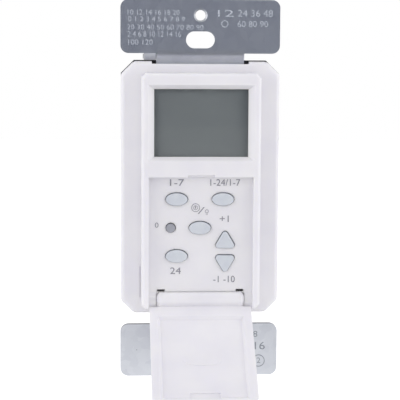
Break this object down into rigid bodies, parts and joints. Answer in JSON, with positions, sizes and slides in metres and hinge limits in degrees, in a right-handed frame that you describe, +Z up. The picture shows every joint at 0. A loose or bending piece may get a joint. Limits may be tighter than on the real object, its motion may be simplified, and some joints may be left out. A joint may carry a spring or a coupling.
{
  "type": "timer light switch",
  "caption": "In-wall timer switch on a steel mounting strap, with a display window, a keypad under a flip-down door and side screw terminals.",
  "frame": {"origin": "midway between the two cover plate screw holes, on the back plane of the strap's ears, where the switch meets the wall", "axes": "+X to the right seen from the room, +Y into the wall, +Z up"},
  "size_m": [0.0442, 0.0602, 0.1069],
  "materials": {
    "galvanised_steel": "satin, bluish zinc",
    "green_screw": "green dyed zinc",
    "white_plastic": "fine satin moulding",
    "dark_plastic": "satin moulding",
    "steel_screw": "zinc plated",
    "clear_pane": "clear, glossy",
    "display_glass": "grey-green, glossy",
    "reflector_film": "silvery grey-green",
    "holder_plastic": "satin",
    "strip_rubber": "soft silicone",
    "board_laminate": "green solder mask",
    "mat_rubber": "soft silicone",
    "key_rubber": "soft, pale blue-grey",
    "reset_plastic": "satin",
    "black_moulding": "satin",
    "can_metal": "bright",
    "relay_case": "blue, satin",
    "film_case": "yellow, satin",
    "can_sleeve": "dark sleeve",
    "varistor_coat": "blue lacquer",
    "fuse_glass": "clear tube",
    "brass": "bright",
    "clamp_steel": "zinc plated"
  },
  "bodies": {
    "switch": {"mounting_strap": "galvanised_steel", "ground_screw": "green_screw", "front_housing": "white_plastic", "rear_housing": "dark_plastic", "housing_screws": "steel_screw", "display_window": "clear_pane", "lcd_glass": "display_glass", "lcd_reflector": "reflector_film", "lcd_holder": "holder_plastic", "zebra_strip_upper": "strip_rubber", "zebra_strip_lower": "strip_rubber", "control_board": "board_laminate", "control_board_screws": "steel_screw", "keypad_mat": "mat_rubber", "microcontroller": "black_moulding", "crystal": "can_metal", "backup_capacitor": "can_metal", "board_socket": "black_moulding", "board_header": "black_moulding", "power_board": "board_laminate", "power_board_screws": "steel_screw", "relay": "relay_case", "film_capacitor": "film_case", "electrolytic_capacitor": "can_sleeve", "varistor": "varistor_coat", "bridge_rectifier": "black_moulding", "fuse": "fuse_glass", "terminal_plate_line": "brass", "terminal_plate_load": "brass", "terminal_plate_neutral": "brass", "terminal_plate_traveler": "brass", "clamp_plates": "clamp_steel", "terminal_screws": "brass"},
    "door": {"door": "white_plastic"},
    "program_key": {"program_key": "key_rubber"},
    "edit_key": {"edit_key": "key_rubber"},
    "override_key": {"override_key": "key_rubber"},
    "set_key": {"set_key": "key_rubber"},
    "up_key": {"up_key": "key_rubber"},
    "down_key": {"down_key": "key_rubber"},
    "reset_button": {"reset_button": "reset_plastic"}
  },
  "joints": [
    {"name": "door_hinge", "type": "hinge", "parent": "switch", "child": "door", "pos_m": [0, -0.0053, -0.0301], "axis": [-1, 0, 0], "range_deg": [0, 131.4]},
    {"name": "program_key_press", "type": "slide", "parent": "switch", "child": "program_key", "axis": [0, 1, 0], "range_m": [0, 0.0008], "stiffness_N_per_m": 1200, "springref_m": -0.0004},
    {"name": "edit_key_press", "type": "slide", "parent": "switch", "child": "edit_key", "axis": [0, 1, 0], "range_m": [0, 0.0008], "stiffness_N_per_m": 1200, "springref_m": -0.0004},
    {"name": "override_key_press", "type": "slide", "parent": "switch", "child": "override_key", "axis": [0, 1, 0], "range_m": [0, 0.0008], "stiffness_N_per_m": 1200, "springref_m": -0.0004},
    {"name": "set_key_press", "type": "slide", "parent": "switch", "child": "set_key", "axis": [0, 1, 0], "range_m": [0, 0.0008], "stiffness_N_per_m": 1200, "springref_m": -0.0004},
    {"name": "up_key_press", "type": "slide", "parent": "switch", "child": "up_key", "axis": [0, 1, 0], "range_m": [0, 0.0008], "stiffness_N_per_m": 1200, "springref_m": -0.0004},
    {"name": "down_key_press", "type": "slide", "parent": "switch", "child": "down_key", "axis": [0, 1, 0], "range_m": [0, 0.0008], "stiffness_N_per_m": 1200, "springref_m": -0.0004},
    {"name": "reset_button_press", "type": "slide", "parent": "switch", "child": "reset_button", "axis": [0, 1, 0], "range_m": [0, 0.0005], "stiffness_N_per_m": 1200, "springref_m": -0.0004}
  ]
}
